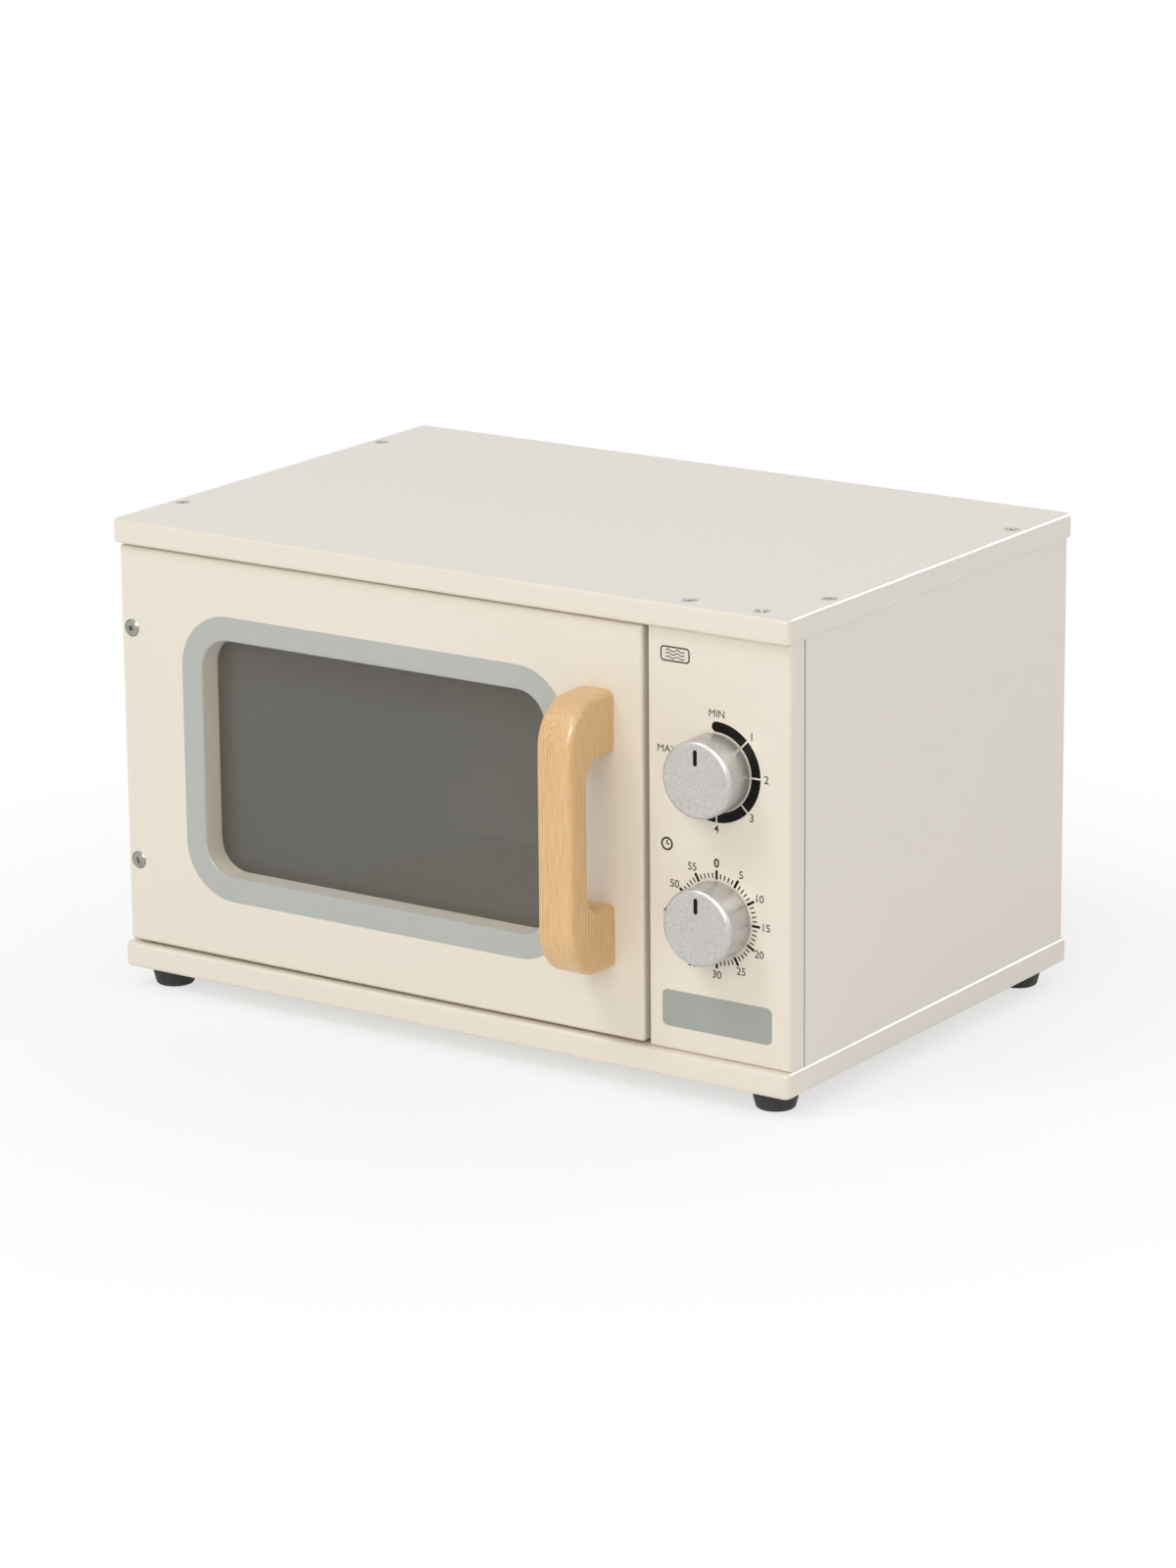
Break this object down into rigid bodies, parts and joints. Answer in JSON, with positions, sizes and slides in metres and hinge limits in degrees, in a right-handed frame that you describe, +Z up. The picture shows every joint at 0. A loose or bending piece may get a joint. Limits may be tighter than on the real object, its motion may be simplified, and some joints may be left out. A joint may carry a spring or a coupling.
{
  "type": "toy microwave oven",
  "caption": "Wooden toy microwave oven with a hinged windowed door, bow handle, click knobs, an open cavity with a turntable, and rubber feet.",
  "frame": {"origin": "on the table under the middle of the object's outline, with the handle and the lid's back edge equally far from it", "axes": "+X to the right seen from the front, +Y to the back, +Z up"},
  "size_m": [0.32, 0.2398, 0.1955],
  "materials": {
    "painted_board": "smooth satin cream paint on fibre board",
    "back_board": "satin cream paint on thin board",
    "beech": "clear matt lacquer on beech",
    "silver_paint": "satin silver-grey metallic paint on turned wood",
    "foot_rubber": "matt black rubber",
    "window_sheet": "clear, lightly smoked acrylic sheet",
    "white_plastic": "moulded white plastic",
    "magnet": "dark sintered magnet",
    "spring_steel": "rolled spring strip",
    "zinc_steel": "zinc plated"
  },
  "bodies": {
    "case": {"lid_panel": "painted_board", "base_panel": "painted_board", "left_side_panel": "painted_board", "right_side_panel": "painted_board", "back_panel": "back_board", "divider_panel": "painted_board", "divider_dowels": "beech", "control_panel": "painted_board", "lid_screws": "zinc_steel", "base_screws": "zinc_steel", "back_panel_screws": "zinc_steel", "foot_front_left": "foot_rubber", "foot_front_right": "foot_rubber", "foot_rear_left": "foot_rubber", "foot_rear_right": "foot_rubber", "foot_screws": "zinc_steel", "hinge_upper_frame_leaf": "zinc_steel", "hinge_lower_frame_leaf": "zinc_steel", "hinge_upper_pin": "zinc_steel", "hinge_lower_pin": "zinc_steel", "hinge_frame_screws": "zinc_steel", "catch_housing": "white_plastic", "catch_magnet": "magnet", "catch_screws": "zinc_steel", "power_bush": "white_plastic", "timer_bush": "white_plastic", "power_click_spring": "spring_steel", "timer_click_spring": "spring_steel", "click_spring_screws": "zinc_steel", "turntable_bearing": "white_plastic"},
    "door": {"door_panel": "painted_board", "door_window": "window_sheet", "window_screws": "zinc_steel", "door_handle": "beech", "handle_screws": "zinc_steel", "hinge_upper_door_leaf": "zinc_steel", "hinge_lower_door_leaf": "zinc_steel", "hinge_bolts": "zinc_steel", "strike_plate": "zinc_steel", "strike_screws": "zinc_steel"},
    "power_control": {"power_knob": "silver_paint", "power_spindle": "zinc_steel", "power_click_wheel": "white_plastic", "power_spindle_washer": "zinc_steel", "power_spindle_screw": "zinc_steel"},
    "timer_control": {"timer_knob": "silver_paint", "timer_spindle": "zinc_steel", "timer_click_wheel": "white_plastic", "timer_spindle_washer": "zinc_steel", "timer_spindle_screw": "zinc_steel"},
    "turntable": {"turntable_plate": "beech", "turntable_pivot": "zinc_steel"}
  },
  "joints": [
    {"name": "door_hinge", "type": "hinge", "parent": "case", "child": "door", "pos_m": [-0.15825, -0.08005, 0.102], "axis": [0, 0, -1], "range_deg": [0, 110]},
    {"name": "power_knob_turn", "type": "hinge", "parent": "case", "child": "power_control", "pos_m": [0.126, -0.08965, 0.1319], "axis": [0, 1, 0], "continuous": true},
    {"name": "timer_knob_turn", "type": "hinge", "parent": "case", "child": "timer_control", "pos_m": [0.126, -0.08965, 0.0741], "axis": [0, 1, 0], "continuous": true},
    {"name": "turntable_turn", "type": "hinge", "parent": "case", "child": "turntable", "pos_m": [-0.02995, 0.0169, 0.0225], "axis": [0, 0, 1], "continuous": true}
  ]
}
